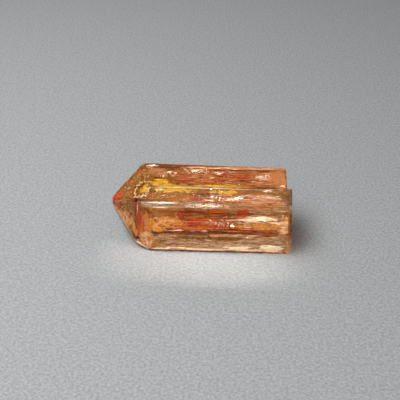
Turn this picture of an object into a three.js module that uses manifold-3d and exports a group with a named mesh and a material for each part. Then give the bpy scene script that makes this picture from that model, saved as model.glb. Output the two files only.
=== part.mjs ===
// Imperial topaz crystal: one orthorhombic prism, lying on a side face.
// Millimetres, +Z up. The long growth axis runs along X, the grown tip at -X,
// the broken basal cleavage at +X. The front of the crystal is the -Y side.
import * as THREE from 'three';
import Module from 'manifold-3d';
import { mergeVertices } from 'three/addons/utils/BufferGeometryUtils.js';

const wasm = await Module();
wasm.setup();

// ---- driving dimensions ----
const tipX = -10.28;            // blunt end of the pyramid
const cleavageX = 10.5;         // outer cleavage plane
const axisHeight = 3.35;        // growth axis above the resting face
const stockSize = 40;           // block the faces are cut from

// Prism faces. 'lean' is the direction a face looks in the cross section:
// 0 faces the front, 90 faces up. The angles are those of the {110} and {120}
// prisms of topaz. 'taper' is how far a face closes in towards +X, in degrees.
const prismFaces = {
  top: { lean: 90, distance: 3.35, taper: 0 },
  shoulder: { lean: 71.3, distance: 3.53, taper: 0.1 },
  crest: { lean: 43.4, distance: 4.20, taper: 0 },
  front: { lean: 15.5, distance: 4.17, taper: 0 },
  under: { lean: -3.2, distance: 4.55, taper: 0 },
  rest: { lean: -90, distance: 3.35, taper: 0 },
  keel: { lean: -108.7, distance: 3.59, taper: 0.6 },
  back: { lean: 195.5, distance: 3.80, taper: 1.2 },
  rear: { lean: 176.8, distance: 4.28, taper: 1.8 },
};

// Pyramid faces meet in one apex, which the blunt tip then cuts away.
// 'slope' is the angle between a face's outward direction and the -X axis.
const apex = new THREE.Vector3(-10.66, -0.56, 4.38);
const pyramidFaces = {
  pyramidTop: { lean: 83, slope: 62.7 },
  pyramidFront: { lean: 8, slope: 51 },
  pyramidKeel: { lean: -116, slope: 47 },
  pyramidBack: { lean: -169, slope: 41.8 },
};

// Narrow facets that trim the pyramid's edges, each through a point and set in.
const trimFacets = {
  lowerRim: { lean: -26.4, slope: 36.6, through: [-10.66, -0.56, 4.38], inset: 0.04 },
  heel: { lean: -73, slope: 64.4, through: [-6.3, -4.32, 0], inset: 0.25 },
  collar: { lean: 6, slope: 67, through: [-6.45, -3.64, 5.98], inset: 0.11 },
  backCap: { lean: 112, slope: 70, through: [-6.9, 4.23, 6.7], inset: 0.04 },
  bluntTip: { lean: -35, slope: 7, through: [tipX, -0.7, 4.4], inset: 0 },
};

// Stepped cleavage at +X: the upper back part broke off shorter than the rest.
// The ledge starts at (x, y, z) and falls towards the back, in degrees.
const upperStep = { x: 9.95, y: -0.95, z: 6.7, fall: 36, size: [4, 12, 8] };
const terraceSize = [3, 6, 5];
const terraces = [
  { x: 10.36, y: -0.4, z: -1.2, turn: 24 },
  { x: 10.24, y: 1.3, z: 1.4, turn: -16 },
];

// Growth striations: long shallow grooves that run with the growth axis.
// The pairs are the smallest and the largest of each measure.
const striation = {
  perFace: 13,
  spread: 7.2,        // width of face that the grooves are scattered over
  along: [-4.9, 9.1],
  length: [26, 80],
  width: [0.13, 0.31],
  depth: [0.03, 0.065],
  seed: 7,
};

// Growth steps: strips of a face that stopped growing a little early.
// 'across' and 'along' are the strip's middle, from the foot of the growth axis.
const growthSteps = [
  { face: 'front', across: 1.35, along: -2.6, width: 0.5, length: 8.6, depth: 0.06 },
  { face: 'front', across: -0.9, along: 6.9, width: 0.7, length: 8.4, depth: 0.05 },
  { face: 'under', across: -1.2, along: 3.6, width: 0.55, length: 15, depth: 0.06 },
  { face: 'top', across: -2.9, along: 5.2, width: 1.0, length: 12, depth: 0.05 },
  { face: 'rear', across: 1.2, along: -1.5, width: 0.8, length: 13, depth: 0.06 },
  { face: 'back', across: -0.6, along: 4.4, width: 0.9, length: 14, depth: 0.06 },
];

// Small shell-shaped chips on the edges: centre, radius, stretch along X.
const chipSegments = [14, 9];
const chips = [
  { at: [5.7, -4.79, -0.42], radius: 0.6, stretch: 1.7 },
  { at: [-6.45, -4.72, -0.28], radius: 0.62, stretch: 1.1 },
  { at: [8.3, -4.9, 2.2], radius: 0.46, stretch: 2.4 },
  { at: [10.62, -4.67, -0.2], radius: 0.55, stretch: 0.9 },
  { at: [10.2, 3.95, 6.95], radius: 0.6, stretch: 0.8 },
  { at: [-2.4, 4.62, 6.95], radius: 0.55, stretch: 2.2 },
  { at: [2.9, 3.55, 0.25], radius: 0.5, stretch: 1.8 },
];

const crystalColour = 0xc9803f;

// ---- helpers ----
const radians = THREE.MathUtils.degToRad;
const centreOfSection = new THREE.Vector3(0, 0, axisHeight);

function toManifold(geometry) {
  const plain = geometry.clone();
  plain.deleteAttribute('normal');
  plain.deleteAttribute('uv');
  const merged = mergeVertices(plain, 1e-6);
  const mesh = new wasm.Mesh({
    numProp: 3,
    vertProperties: Float32Array.from(merged.attributes.position.array),
    triVerts: Uint32Array.from(merged.index.array),
  });
  return new wasm.Manifold(mesh);
}

function toGeometry(solid) {
  const mesh = solid.getMesh();
  const geometry = new THREE.BufferGeometry();
  geometry.setAttribute('position', new THREE.BufferAttribute(mesh.vertProperties, 3));
  geometry.setIndex(new THREE.BufferAttribute(mesh.triVerts, 1));
  return geometry;
}

// Direction of a face from its lean in the cross section and slope from -X.
function outward(lean, slope) {
  const across = Math.sin(radians(slope));
  return new THREE.Vector3(
    -Math.cos(radians(slope)),
    -Math.cos(radians(lean)) * across,
    Math.sin(radians(lean)) * across,
  );
}

// A prism face looks straight out of the axis, turned by its taper.
function prismPlane({ lean, distance, taper }) {
  const normal = outward(lean, 90 + taper);
  const point = outward(lean, 90).multiplyScalar(distance).add(centreOfSection);
  return { normal, point };
}

function pyramidPlane({ lean, slope }) {
  return { normal: outward(lean, slope), point: apex.clone() };
}

function trimPlane({ lean, slope, through, inset }) {
  const normal = outward(lean, slope);
  const point = new THREE.Vector3(...through).addScaledVector(normal, -inset);
  return { normal, point };
}

// Block that fills everything beyond a plane.
function beyond({ normal, point }) {
  const block = new THREE.BoxGeometry(2 * stockSize, 2 * stockSize, stockSize);
  block.translate(0, 0, stockSize / 2);
  const turn = new THREE.Quaternion().setFromUnitVectors(new THREE.Vector3(0, 0, 1), normal);
  block.applyQuaternion(turn);
  block.translate(point.x, point.y, point.z);
  return toManifold(block);
}

// Repeatable random measure between a smallest and a largest one.
function between([smallest, largest]) {
  return THREE.MathUtils.lerp(smallest, largest, THREE.MathUtils.seededRandom());
}

// Block with one corner at the origin.
function cornerBlock([x, y, z]) {
  const block = new THREE.BoxGeometry(x, y, z);
  block.translate(x / 2, y / 2, z / 2);
  return block;
}

// Lay a shape on a face: its X runs with the growth axis, its Z looks outwards.
function layOn(plane, shape, across, along) {
  const run = new THREE.Vector3(1, 0, 0);
  run.addScaledVector(plane.normal, -run.dot(plane.normal)).normalize();
  const side = new THREE.Vector3().crossVectors(plane.normal, run);
  const basis = new THREE.Matrix4().makeBasis(run, side, plane.normal);
  shape.applyMatrix4(basis);
  const place = plane.point.clone();
  place.addScaledVector(side, across);
  place.addScaledVector(run, along);
  shape.translate(place.x, place.y, place.z);
  return toManifold(shape);
}

// A groove is a long thin octahedron with its middle on the face.
function groove(plane, across, along, length, width, depth) {
  const shape = new THREE.OctahedronGeometry(1);
  shape.scale(length / 2, width / 2, depth);
  return layOn(plane, shape, across, along);
}

// A growth step is a shallow strip taken off the face.
function strip({ face, across, along, width, length, depth }) {
  const shape = new THREE.BoxGeometry(length, width, 2 * depth);
  return layOn(prismPlane(prismFaces[face]), shape, across, along);
}

// ---- faces ----
const prismPlanes = Object.values(prismFaces).map(prismPlane);
const pyramidPlanes = Object.values(pyramidFaces).map(pyramidPlane);
const trimPlanes = Object.values(trimFacets).map(trimPlane);
const cleavagePlane = {
  normal: new THREE.Vector3(1, 0, 0),
  point: new THREE.Vector3(cleavageX, 0, axisHeight),
};

let crystal = toManifold(new THREE.BoxGeometry(stockSize, stockSize, stockSize));
for (const plane of [...prismPlanes, ...pyramidPlanes, ...trimPlanes, cleavagePlane]) {
  crystal = crystal.subtract(beyond(plane));
}

// ---- stepped cleavage ----
const stepBlock = cornerBlock(upperStep.size);
stepBlock.rotateX(-radians(upperStep.fall));
stepBlock.translate(upperStep.x, upperStep.y, upperStep.z);
crystal = crystal.subtract(toManifold(stepBlock));

for (const terrace of terraces) {
  const block = cornerBlock(terraceSize);
  block.translate(0, 0, -terraceSize[2] / 2);
  block.rotateX(radians(terrace.turn));
  block.translate(terrace.x, terrace.y, terrace.z);
  crystal = crystal.subtract(toManifold(block));
}

// ---- growth steps and striations ----
for (const step of growthSteps) {
  crystal = crystal.subtract(strip(step));
}

THREE.MathUtils.seededRandom(striation.seed);
for (const plane of prismPlanes) {
  for (let count = 0; count < striation.perFace; count += 1) {
    const lane = [count / striation.perFace - 0.5, (count + 1) / striation.perFace - 0.5];
    const across = between(lane) * striation.spread;
    const along = between(striation.along);
    const length = between(striation.length);
    const width = between(striation.width);
    const depth = between(striation.depth);
    crystal = crystal.subtract(groove(plane, across, along, length, width, depth));
  }
}

// ---- chips ----
for (const chip of chips) {
  const bite = new THREE.SphereGeometry(chip.radius, ...chipSegments);
  bite.scale(chip.stretch, 1, 1);
  bite.translate(...chip.at);
  crystal = crystal.subtract(toManifold(bite));
}

// ---- the named part, its bottom centre at the origin ----
const geometry = toGeometry(crystal);
geometry.computeBoundingBox();
const middle = geometry.boundingBox.getCenter(new THREE.Vector3());
geometry.translate(-middle.x, -middle.y, -geometry.boundingBox.min.z);
geometry.computeVertexNormals();

const material = new THREE.MeshStandardMaterial({
  color: crystalColour,
  roughness: 0.12,
  metalness: 0,
  flatShading: true,
});
const topazCrystal = new THREE.Mesh(geometry, material);
topazCrystal.name = 'topaz_crystal';

const group = new THREE.Group();
group.name = 'imperial_topaz_crystal';
group.add(topazCrystal);

export default group;
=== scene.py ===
import math
import random

import bmesh
import bpy
from mathutils import Matrix, Vector, geometry, noise


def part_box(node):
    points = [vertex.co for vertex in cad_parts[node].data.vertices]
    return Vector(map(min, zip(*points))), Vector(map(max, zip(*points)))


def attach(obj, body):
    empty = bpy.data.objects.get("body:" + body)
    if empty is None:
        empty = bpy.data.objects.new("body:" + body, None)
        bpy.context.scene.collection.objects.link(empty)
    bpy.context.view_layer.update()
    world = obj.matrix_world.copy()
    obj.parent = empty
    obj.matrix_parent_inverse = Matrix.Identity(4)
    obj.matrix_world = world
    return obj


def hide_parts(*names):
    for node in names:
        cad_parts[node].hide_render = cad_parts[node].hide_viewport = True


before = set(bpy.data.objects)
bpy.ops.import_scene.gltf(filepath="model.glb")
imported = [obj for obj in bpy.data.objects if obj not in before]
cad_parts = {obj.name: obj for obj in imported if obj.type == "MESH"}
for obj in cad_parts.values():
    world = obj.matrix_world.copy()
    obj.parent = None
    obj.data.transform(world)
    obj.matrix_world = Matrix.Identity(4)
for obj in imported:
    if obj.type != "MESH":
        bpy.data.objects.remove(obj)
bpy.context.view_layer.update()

mm = 0.001
scene = bpy.context.scene

# The growth axis runs along X, with the pyramid tip at -X. The front looks towards -Y.
lowCorner, highCorner = [Vector(corner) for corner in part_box("topaz_crystal")]
crystalMiddle = (lowCorner + highCorner) / 2
crystalHeight = highCorner.z - lowCorner.z
brokenEnd = highCorner.x

# Lean 0 looks to the front and 90 looks up. Distances are from the growth axis, in mm, and
# a taper closes a face in towards the broken end.
crystalForm = {
    "axisBehindMiddle": 0.05,
    "stock": (24, 14, 14),            # the block that the faces are cut from
    "prism": {
        "top": (90, 3.35, 0.0),
        "shoulder": (71.3, 3.53, 0.1),
        "crest": (43.4, 4.20, 0.0),
        "front": (15.5, 4.17, 0.0),
        "under": (-3.2, 4.55, 0.0),
        "rest": (-90, 3.35, 0.0),
        "keel": (-108.7, 3.59, 0.6),
        "back": (195.5, 3.80, 1.2),
        "rear": (176.8, 4.28, 1.8),
    },
    "apex": (-10.66, -0.56, 4.38),
    "pyramid": {
        "pyramidTop": (83, 62.7),     # lean, slope from the tip's direction
        "pyramidFront": (8, 51),
        "pyramidKeel": (-116, 47),
        "pyramidBack": (-169, 41.8),
    },
    "trims": {                        # lean, slope, a point on the facet, set in
        "lowerRim": (-26.4, 36.6, (-10.66, -0.56, 4.38), 0.04),
        "heel": (-73, 64.4, (-6.3, -4.32, 0.0), 0.25),
        "collar": (6, 67, (-6.45, -3.64, 5.98), 0.11),
        "backCap": (112, 70, (-6.9, 4.23, 6.7), 0.04),
        "bluntTip": (-35, 7, (-10.28, -0.7, 4.4), 0.0),
    },
    "cleavage": 10.5,
    "shortEnd": {"place": (9.95, -0.95, 6.7), "fall": 36},
    "innerEnd": 10.2,                 # nothing sealed inside reaches further along
    "edgeRound": 0.055,
    "edgeSegments": 3,
    "endToEnd": 20,                   # edges longer than this run the whole length
    "divisionsAlong": 150,
    "cellSize": 0.16,                 # relief cells on the pyramid and the broken end
    "relief": {"pyramid": 0.03, "brokenEnd": 0.012},
    "reliefScale": 1.3,
    "wearReach": 0.10,
    "tipRounding": (1.4, 0.9, 0.6),
    "tipPasses": 5,
    "collarSoftness": 0.3,
    "collarPasses": 4,
    "sharpFrom": 15,                  # degrees between faces
    "sharpAlong": 0.9,                # share along X from which an edge stays sharp
}
# Points in crystalForm count from their own zero, which recentre moves onto the frame.
recentre = Vector((
    brokenEnd - crystalForm["cleavage"] * mm, crystalForm["axisBehindMiddle"] * mm, 0))
growthAxis = Vector((
    0, crystalMiddle.y + crystalForm["axisBehindMiddle"] * mm, lowCorner.z + crystalHeight / 2))
prismOrder = list(crystalForm["prism"])


def outward(lean, slope=90.0):
    across = math.sin(math.radians(slope))
    return Vector((
        -math.cos(math.radians(slope)),
        -math.cos(math.radians(lean)) * across,
        math.sin(math.radians(lean)) * across,
    ))


def prismPlane(name):
    lean, distance, taper = crystalForm["prism"][name]
    point = growthAxis + outward(lean) * distance * mm + Vector((recentre.x, 0, 0))
    return point, outward(lean, 90 + taper)


def crystalPoint(place):
    return Vector(place) * mm + recentre


def facetPlane(name):
    if name == "brokenEnd":
        return Vector((brokenEnd, 0, 0)), Vector((1, 0, 0))
    if name in crystalForm["prism"]:
        return prismPlane(name)
    if name in crystalForm["pyramid"]:
        return crystalPoint(crystalForm["apex"]), outward(*crystalForm["pyramid"][name])
    lean, slope, place, inset = crystalForm["trims"][name]
    normal = outward(lean, slope)
    return crystalPoint(place) - normal * inset * mm, normal


def onPlane(co, point, normal, tolerance=1e-7):
    return abs((co - point).dot(normal)) < tolerance


def turned(degrees, axis, size=3):
    return Matrix.Rotation(math.radians(degrees), size, axis)


def asMesh(name, bm):
    mesh = bpy.data.meshes.new(name)
    bm.to_mesh(mesh)
    bm.free()
    return mesh


def addObject(name, data):
    made = bpy.data.objects.new(name, data)
    scene.collection.objects.link(made)
    return made


def wholeOf(bm):
    return bm.verts[:] + bm.edges[:] + bm.faces[:]


def withParts(faces):
    # the faces together with their edges and corners
    edges = {e for f in faces for e in f.edges}
    verts = {v for f in faces for v in f.verts}
    return faces + list(edges) + list(verts)


def cutPlane(bm, geom, point, normal, **clear):
    return bmesh.ops.bisect_plane(
        bm, geom=geom, dist=1e-9, plane_co=point, plane_no=normal, **clear)


def cutAndClose(bm, point, normal):
    cut = cutPlane(bm, wholeOf(bm), point, normal, clear_outer=True)
    rim = [item for item in cut["geom_cut"] if isinstance(item, bmesh.types.BMEdge)]
    bmesh.ops.edgeloop_fill(bm, edges=rim)


def relax(bm, verts, passes):
    for step in range(passes):
        bmesh.ops.smooth_vert(
            bm, verts=verts, factor=0.5, use_axis_x=True, use_axis_y=True, use_axis_z=True)


# Lanes of flat growth between narrow risers, all in mm.
striations = {
    "seed": 11,
    "margin": 0.03,
    "lastStart": 0.05,                # no lane begins nearer than this to the far edge
    "crowdedLane": (0.035, 0.13),
    "wideLane": (0.18, 0.5),
    "crowding": (0.9, 7.3, 1.7),      # how the noise that crowds the lanes is read
    "crowdedAbove": -0.05,
    "riser": (0.012, 0.03),
    "step": (0.006, 0.022),
    "deepest": 0.075,
    "strength": (0.75, 0.9, 0.14),    # least, how much it varies, how fast along X
    "ripple": (0.004, 0.6, 0.35),     # height, how fast along X, how fast across
}


def striationLines(width, seed):
    # (share of the width, depth) of each line
    draw = random.Random(seed)
    margin, perPlace, perSeed, aside = striations["margin"], *striations["crowding"]
    lines = []
    place, depth = margin, 0.0
    while place < width - striations["lastStart"]:
        crowd = noise.noise(Vector((place * perPlace, seed * perSeed, aside)))
        crowded = crowd > striations["crowdedAbove"]
        lane = draw.uniform(*striations["crowdedLane" if crowded else "wideLane"])
        riser = draw.uniform(*striations["riser"])
        if place + lane + riser > width - margin:
            break
        lines.append(((place + lane) / width, depth))
        step = draw.choice((-1, 1)) * draw.uniform(*striations["step"])
        depth = min(striations["deepest"], max(0.0, depth + step))
        place += lane + riser
        lines.append((place / width, depth))
    return lines


def acrossOrder(co):
    return round(co.z, 7), co.y


def alongX(edge):
    return abs(edge.verts[0].co.x - edge.verts[1].co.x)


def striate(bm, layers):
    # every long face gets its own lines, laid from end to end
    for faceNumber, name in enumerate(prismOrder):
        point, normal = prismPlane(name)
        face = next(
            f for f in bm.faces
            if len(f.verts) == 4 and all(onPlane(v.co, point, normal, 2e-7) for v in f.verts))
        ends = sorted(face.edges, key=alongX)[:2]
        width = max(e.calc_length() for e in ends) / mm
        lines = striationLines(width, striations["seed"] + faceNumber)
        corners = [sorted((v.co.copy() for v in e.verts), key=acrossOrder) for e in ends]
        split = bmesh.ops.subdivide_edges(bm, edges=ends, cuts=len(lines), use_grid_fill=True)
        fresh = [item for item in split["geom_inner"] if isinstance(item, bmesh.types.BMVert)]
        for start, finish in corners:
            row = [v for v in fresh if abs(v.co.x - start.x) < 0.5 * mm]
            row.sort(key=lambda v: (v.co - start).length)
            for v, (share, depth) in zip(row, lines):
                v.co = start.lerp(finish, share)
                v[layers["sink"]] = depth
                v[layers["phase"]] = share * 40 + faceNumber * 11
                v[layers["inward"]] = -normal


def sinkLines(bm, layers):
    least, varies, alongPace = striations["strength"]
    height, ripplePace, acrossPace = striations["ripple"]
    for v in bm.verts:
        inward = Vector(v[layers["inward"]])
        if inward.length < 0.5:
            continue
        x = v.co.x / mm
        phase = v[layers["phase"]]
        strength = least + varies * noise.noise(Vector((x * alongPace, phase, 0)))
        ripple = height * noise.noise(Vector((x * ripplePace, phase * acrossPace, 5)))
        depth = max(0.0, v[layers["sink"]] * max(0.0, strength) + ripple)
        v.co += inward.normalized() * depth * mm


stepCorner = crystalPoint(crystalForm["shortEnd"]["place"])
stepFall = math.radians(crystalForm["shortEnd"]["fall"])
ledgeNormal = Vector((0, math.sin(stepFall), math.cos(stepFall)))


def breakShort(bm):
    # the upper back of the broken end parted along a shorter cleavage
    riserPoint = Vector((stepCorner.x, 0, 0))
    along = Vector((1, 0, 0))
    cutPlane(bm, wholeOf(bm), riserPoint, along)

    def beyondRiser(face):
        return face.calc_center_median().x > stepCorner.x + 1e-8

    def onRiser(v):
        return onPlane(v.co, riserPoint, along, 1e-8)

    cutPlane(bm, withParts([f for f in bm.faces if beyondRiser(f)]), stepCorner, ledgeNormal)
    gone = [
        f for f in bm.faces
        if beyondRiser(f) and (f.calc_center_median() - stepCorner).dot(ledgeNormal) > 0]
    bmesh.ops.delete(bm, geom=gone, context="FACES")
    rim = [e for e in bm.edges if len(e.link_faces) == 1]
    turns = [
        v for v in {v for e in rim for v in e.verts}
        if onRiser(v) and onPlane(v.co, stepCorner, ledgeNormal, 1e-8)]
    joint = bm.edges.new(turns)
    riser = [e for e in rim if all(onRiser(v) for v in e.verts)]
    ledge = [e for e in rim if e not in set(riser)]
    bmesh.ops.edgeloop_fill(bm, edges=riser + [joint])
    bmesh.ops.edgeloop_fill(bm, edges=ledge + [joint])


def gridFace(bm, point, normal, pitch):
    # cut one flat face into small cells, so that relief can be laid on it
    faces = [
        f for f in bm.faces
        if f.normal.dot(normal) > 0.9999 and all(onPlane(v.co, point, normal) for v in f.verts)]
    if not faces:
        return []
    sideways = normal.orthogonal().normalized()
    for direction in (sideways, normal.cross(sideways)):
        reach = [direction.dot(v.co) for f in faces for v in f.verts]
        place = min(reach) + pitch / 2
        geom = withParts(faces)
        while place < max(reach):
            geom = cutPlane(bm, geom, direction * place, direction)["geom"]
            place += pitch
        faces = [item for item in geom if isinstance(item, bmesh.types.BMFace)]
    inner = []
    for v in {v for f in faces for v in f.verts}:
        if all(f.normal.dot(normal) > 0.9999 for f in v.link_faces):
            inner.append(v)
    return inner


# Low steps on the broken end: the middle of each patch, and its turn about X.
terraces = {
    "halfWide": 3.0,
    "halfTall": 2.5,
    "riser": 0.012,
    "patches": [((10.36, 2.34, 0.02), 24), ((10.24, 4.18, 0.57), -16)],
}

# Shell-shaped bites: place, radius, stretch along X, all in mm.
chips = {
    "large": [
        ((5.7, -4.79, -0.42), 0.6, 1.7),
        ((-6.45, -4.72, -0.28), 0.62, 1.1),
        ((8.3, -4.9, 2.2), 0.46, 2.4),
        ((10.62, -4.67, -0.2), 0.55, 0.9),
        ((10.2, 3.95, 6.95), 0.6, 0.8),
        ((-2.4, 4.62, 6.95), 0.55, 2.2),
        ((2.9, 3.55, 0.25), 0.5, 1.8),
    ],
    "seed": 4,
    "nicksPerEdge": 8,
    "nickAlong": (-7.5, 10.3),
    "nickRadius": (0.1, 0.28),
    "nickBite": (0.015, 0.04),
    "nickStretch": (1.0, 3.5),
}


def sinkTerraces(bm):
    halfWide, halfTall, riser = terraces["halfWide"], terraces["halfTall"], terraces["riser"]
    for place, degrees in terraces["patches"]:
        turn = turned(degrees, "X")
        across, upward = turn @ Vector((0, 1, 0)), turn @ Vector((0, 0, 1))
        middle = crystalPoint(place)
        geom = withParts([
            f for f in bm.faces if f.normal.x > 0.99 and f.calc_center_median().x > middle.x])
        for direction, reach in ((-across, halfWide), (upward, halfTall)):
            for inset in (0.0, riser):
                border = middle + direction * (reach - inset) * mm
                geom = cutPlane(bm, geom, border, direction)["geom"]
        for v in bm.verts:
            if v.co.x <= middle.x:
                continue
            offset = (v.co - middle) / mm
            wide, tall = abs(offset.dot(across)), abs(offset.dot(upward))
            if wide < halfWide - riser / 2 and tall < halfTall - riser / 2:
                v.co.x = middle.x


def bite(verts, centre, radius, stretch):
    # press everything inside a stretched ball out to its surface
    for v in verts:
        offset = v.co - centre
        if abs(offset.x) > radius * stretch or abs(offset.y) > radius or abs(offset.z) > radius:
            continue
        offset.x /= stretch
        if offset.length < radius:
            offset = offset.normalized() * radius
            offset.x *= stretch
            v.co = centre + offset


def edgeAt(first, second, x):
    # where the edge between two prism faces crosses a section of the crystal
    co, direction = geometry.intersect_plane_plane(*prismPlane(first), *prismPlane(second))
    return geometry.intersect_line_plane(co, co + direction, Vector((x, 0, 0)), Vector((1, 0, 0)))


def chipEdges(bm):
    verts = bm.verts[:]
    for place, radius, stretch in chips["large"]:
        bite(verts, crystalPoint(place), radius * mm, stretch)
    draw = random.Random(chips["seed"])
    for number, name in enumerate(prismOrder):
        following = prismOrder[(number + 1) % len(prismOrder)]
        away = (prismPlane(name)[1] + prismPlane(following)[1]).normalized()
        for nick in range(chips["nicksPerEdge"]):
            x = draw.uniform(*chips["nickAlong"]) * mm
            radius = draw.uniform(*chips["nickRadius"]) * mm
            depth = draw.uniform(*chips["nickBite"]) * mm
            stretch = draw.uniform(*chips["nickStretch"])
            bite(verts, edgeAt(name, following, x) + away * (radius - depth), radius, stretch)


def roundTip(bm):
    tip = crystalPoint(crystalForm["trims"]["bluntTip"][2])
    for reach in crystalForm["tipRounding"]:
        near = [v for v in bm.verts if (v.co - tip).length < reach * mm]
        relax(bm, near, crystalForm["tipPasses"])


def softenCollar(bm):
    # the facet in front of the pyramid passes into the long faces without a crisp edge
    reach = crystalForm["collarSoftness"] * mm
    for name in ("crest", "front", "under"):
        planes = (facetPlane("collar"), prismPlane(name))
        near = [v for v in bm.verts if all(onPlane(v.co, *plane, reach) for plane in planes)]
        relax(bm, near, crystalForm["collarPasses"])


def markWear(bm, planes):
    # worn edges: 1 on an edge, fading out over the reach to either side
    worn = bm.verts.layers.float.new("worn")
    reach = crystalForm["wearReach"] * mm
    for v in bm.verts:
        nearest = sorted(abs((v.co - point).dot(normal)) for point, normal in planes)
        v[worn] = max(0.0, 1.0 - nearest[1] / reach)


def endToEnd(bm):
    return [e for e in bm.edges if alongX(e) > crystalForm["endToEnd"] * mm]


def buildCrystal():
    bm = bmesh.new()
    layers = {
        "sink": bm.verts.layers.float.new("sink"),
        "phase": bm.verts.layers.float.new("phase"),
        "inward": bm.verts.layers.float_vector.new("inward"),
    }
    stock = bmesh.ops.create_cube(bm, size=1.0)["verts"]
    bmesh.ops.scale(bm, vec=Vector(crystalForm["stock"]) * mm, verts=stock)
    bmesh.ops.translate(bm, vec=growthAxis, verts=stock)
    for name in prismOrder:
        cutAndClose(bm, *prismPlane(name))
    bmesh.ops.bevel(
        bm, geom=endToEnd(bm), offset=crystalForm["edgeRound"] * mm,
        segments=crystalForm["edgeSegments"], profile=0.5, affect="EDGES", material=-1)
    striate(bm, layers)
    bmesh.ops.subdivide_edges(
        bm, edges=endToEnd(bm), cuts=crystalForm["divisionsAlong"], use_grid_fill=True)
    sinkLines(bm, layers)
    print("striated skin:", len(bm.faces), "faces")

    cleavage = facetPlane("brokenEnd")
    facets = [facetPlane(name) for group in ("pyramid", "trims") for name in crystalForm[group]]
    for plane in facets + [cleavage]:
        cutAndClose(bm, *plane)
    breakShort(bm)
    reliefs = [(*plane, crystalForm["relief"]["pyramid"]) for plane in facets]
    reliefs.append((*cleavage, crystalForm["relief"]["brokenEnd"]))
    for point, normal, deepest in reliefs:
        bm.normal_update()
        for v in gridFace(bm, point, normal, crystalForm["cellSize"] * mm):
            height = noise.fractal(v.co / mm * crystalForm["reliefScale"], 1.0, 2.1, 4)
            v.co -= normal * (deepest * (0.5 + 0.5 * height)) * mm
    bm.normal_update()
    sinkTerraces(bm)
    chipEdges(bm)
    roundTip(bm)
    softenCollar(bm)
    bmesh.ops.dissolve_degenerate(bm, dist=1e-7, edges=bm.edges[:])
    bmesh.ops.recalc_face_normals(bm, faces=bm.faces[:])
    bmesh.ops.triangulate(bm, faces=[f for f in bm.faces if len(f.verts) > 4])
    openEdges = [e for e in bm.edges if len(e.link_faces) < 2]
    sharedEdges = [e for e in bm.edges if len(e.link_faces) > 2]
    print("crystal skin:", len(bm.faces), "faces,", len(openEdges), "open edges,",
          len(sharedEdges), "shared by more than two faces")
    markWear(bm, facets + [cleavage] + [prismPlane(name) for name in prismOrder])
    for f in bm.faces:
        f.smooth = True
    for e in bm.edges:
        run = e.verts[1].co - e.verts[0].co
        ridge = e.calc_face_angle(0.0) > math.radians(crystalForm["sharpFrom"])
        e.smooth = not ridge and abs(run.x) < crystalForm["sharpAlong"] * run.length
    return addObject("topaz_skin", asMesh("topaz_skin", bm))


def standOn(point, normal):
    # a frame whose X runs with the growth axis, Y across the face and Z outwards
    along = Vector((0, 1, 0)) if abs(normal.x) > 0.99 else Vector((1, 0, 0))
    run = (along - normal * along.dot(normal)).normalized()
    stand = Matrix((run, normal.cross(run), normal)).transposed().to_4x4()
    stand.translation = point
    return stand


def spotInside(face, place, depth):
    # (mm along, share of the width) on a prism face, or a point near another facet
    point, normal = facetPlane(face)
    if face in prismOrder:
        number = prismOrder.index(face)
        x = place[0] * mm
        upper = edgeAt(prismOrder[number - 1], face, x)
        lower = edgeAt(face, prismOrder[(number + 1) % len(prismOrder)], x)
        foot = upper.lerp(lower, place[1])
    else:
        near = Vector(place) * mm
        foot = near - normal * (near - point).dot(normal)
    return standOn(foot - normal * depth * mm, normal)


def turnedSpot(face, place, depth, spin=0, tilt=0):
    return spotInside(face, place, depth) @ (turned(spin, "Z", 4) @ turned(tilt, "X", 4))


wallPlanes = [
    facetPlane(name) for group in ("prism", "pyramid", "trims") for name in crystalForm[group]]
wallPlanes.append((crystalPoint((crystalForm["innerEnd"], 0, 0)), Vector((1, 0, 0))))
clearance = {"film": 0.1, "speck": 0.11}      # mm from every wall


def keepInside(verts, margin):
    for v in verts:
        for point, normal in wallPlanes:
            out = (v.co - point).dot(normal) + margin * mm
            if out > 0:
                v.co -= normal * out
        # the step in the broken end
        pastRiser = v.co.x - stepCorner.x + margin * mm
        aboveLedge = (v.co - stepCorner).dot(ledgeNormal) + margin * mm
        if pastRiser > 0 and aboveLedge > 0:
            if pastRiser < aboveLedge:
                v.co.x -= pastRiser
            else:
                v.co -= ledgeNormal * aboveLedge


# The shape that all the films share, in mm.
veilForm = {
    "segments": 20,
    "cuts": 4,
    "thick": 0.03,
    "middle": 1.05,                   # how much thicker than its rim
    "torn": 0.45,
    "tearing": (1.3, 3.7),            # noise around the rim, and per film
    "wave": 0.10,
    "waving": (0.9, 1.4, 5.1),        # noise along, across, and per film
    "seedStep": 1.7,
}
flakeForm = {
    "crowding": 0.6,                  # under 1 leaves the middle of a cloud thinner
    "wobble": 0.3,
    "spin": (-0.7, 0.7),
    "long": (0.5, 1.3),
    "stretch": (0.8, 2.2),
    "broad": (0.5, 1.0),
    "flat": 0.15,
}
needleForm = {"sides": 5, "long": (0.4, 1.0), "thick": (0.5, 1.2), "flat": 0.6}


def closeSheet(bm):
    # give a flat sheet a wall, centred on its own plane
    bmesh.ops.solidify(bm, geom=bm.faces[:], thickness=1.0)
    bmesh.ops.recalc_face_normals(bm, faces=bm.faces[:])
    heights = [v.co.z for v in bm.verts]
    bmesh.ops.translate(bm, vec=(0, 0, -(min(heights) + max(heights)) / 2), verts=bm.verts[:])


def veilTemplate():
    bm = bmesh.new()
    bmesh.ops.create_circle(
        bm, cap_ends=True, cap_tris=True, segments=veilForm["segments"], radius=1.0)
    bmesh.ops.subdivide_edges(bm, edges=bm.edges[:], cuts=veilForm["cuts"], use_grid_fill=True)
    closeSheet(bm)
    return asMesh("veilTemplate", bm)


def flakeTemplate():
    bm = bmesh.new()
    bmesh.ops.create_icosphere(bm, subdivisions=1, radius=1.0)
    return asMesh("flakeTemplate", bm)


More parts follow.
